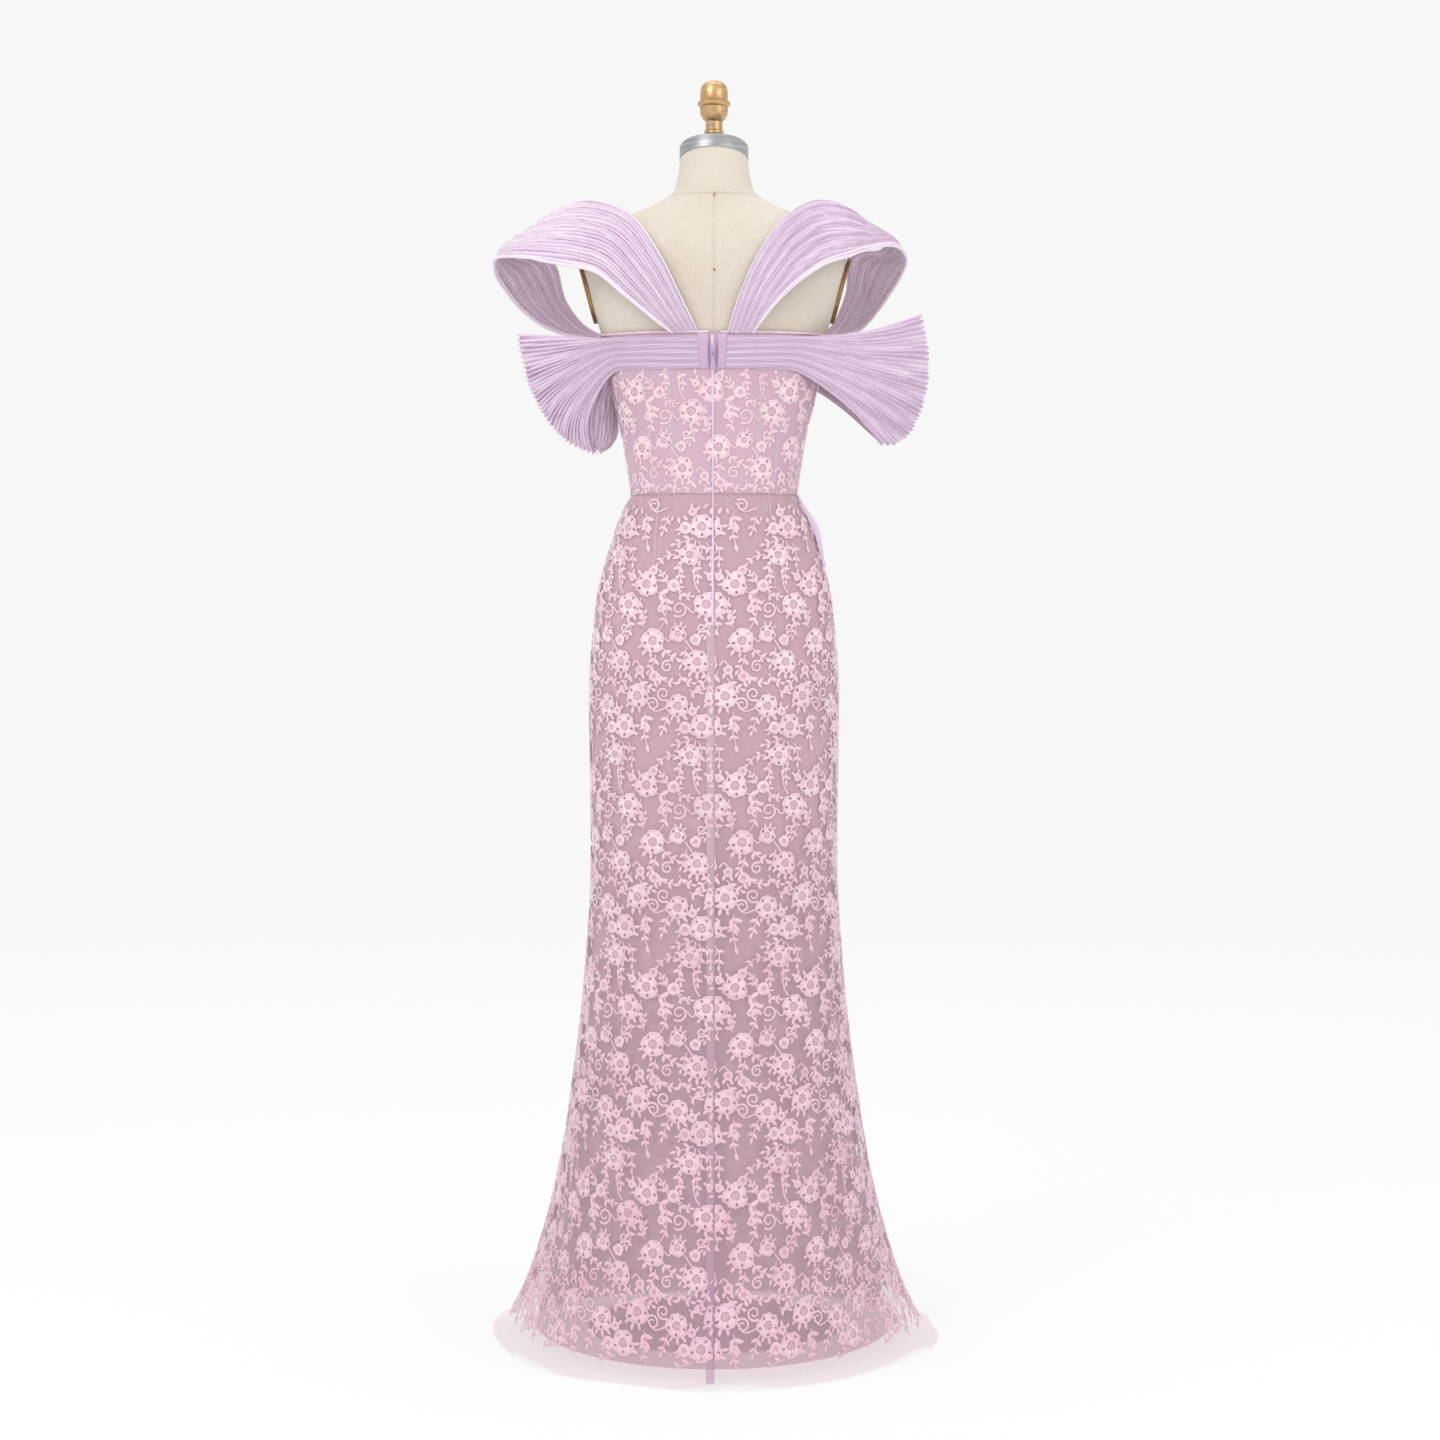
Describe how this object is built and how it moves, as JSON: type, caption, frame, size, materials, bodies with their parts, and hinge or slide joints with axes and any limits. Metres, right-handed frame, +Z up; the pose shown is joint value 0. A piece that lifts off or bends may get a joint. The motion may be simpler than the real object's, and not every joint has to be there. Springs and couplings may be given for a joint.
{
  "type": "mermaid gown on dress form",
  "caption": "Floor-length mermaid gown with pleated shoulder loops and arm fans, standing on a limbless dress form with a round base.",
  "frame": {"origin": "on the floor, at the middle of the flat underside of the stand's round base", "axes": "+Z up, -Y out of the back of the gown towards the picture's camera, +X to the wearer's right"},
  "size_m": [0.5986, 0.6218, 1.6855],
  "materials": {
    "lace_net": "sheer net with pink corded floral embroidery over mauve",
    "lining": "fine semi-sheer mauve lining",
    "organza": "crinkle-pleated lavender organza with a pale sheen",
    "linen": "tightly stretched cream linen",
    "bronze": "satin bronze plate",
    "steel": "brushed steel",
    "brass": "aged turned brass",
    "stand_metal": "grey painted cast iron",
    "zip_metal": "lavender lacquered metal"
  },
  "bodies": {
    "gown_on_form": {"arm_fan_left": "organza", "arm_fan_right": "organza", "arm_plate_left": "bronze", "arm_plate_right": "bronze", "band_left": "organza", "band_right": "organza", "band_tab_left": "organza", "band_tab_right": "organza", "bodice_back_left": "lace_net", "bodice_back_right": "lace_net", "bodice_front": "lace_net", "bodice_side_back_left": "lace_net", "bodice_side_back_right": "lace_net", "bodice_side_front_left": "lace_net", "bodice_side_front_right": "lace_net", "finial": "brass", "form_torso": "linen", "hip_drape": "organza", "neck_cap": "steel", "set_screw": "steel", "shoulder_loop_left": "organza", "shoulder_loop_right": "organza", "skirt_back_left": "lace_net", "skirt_back_right": "lace_net", "skirt_front": "lace_net", "lining_back_left": "lining", "lining_back_right": "lining", "lining_front": "lining", "stand_base": "stand_metal", "stand_pole": "stand_metal", "zip_coil": "organza", "zip_slider": "zip_metal"},
    "zip_pull": {"zip_pull": "zip_metal"}
  },
  "joints": [
    {"name": "zip_pull_hinge", "type": "hinge", "parent": "gown_on_form", "child": "zip_pull", "pos_m": [-0.00136, -0.10444, 1.31044], "axis": [-1, 0, 0], "range_deg": [0, 160]}
  ]
}
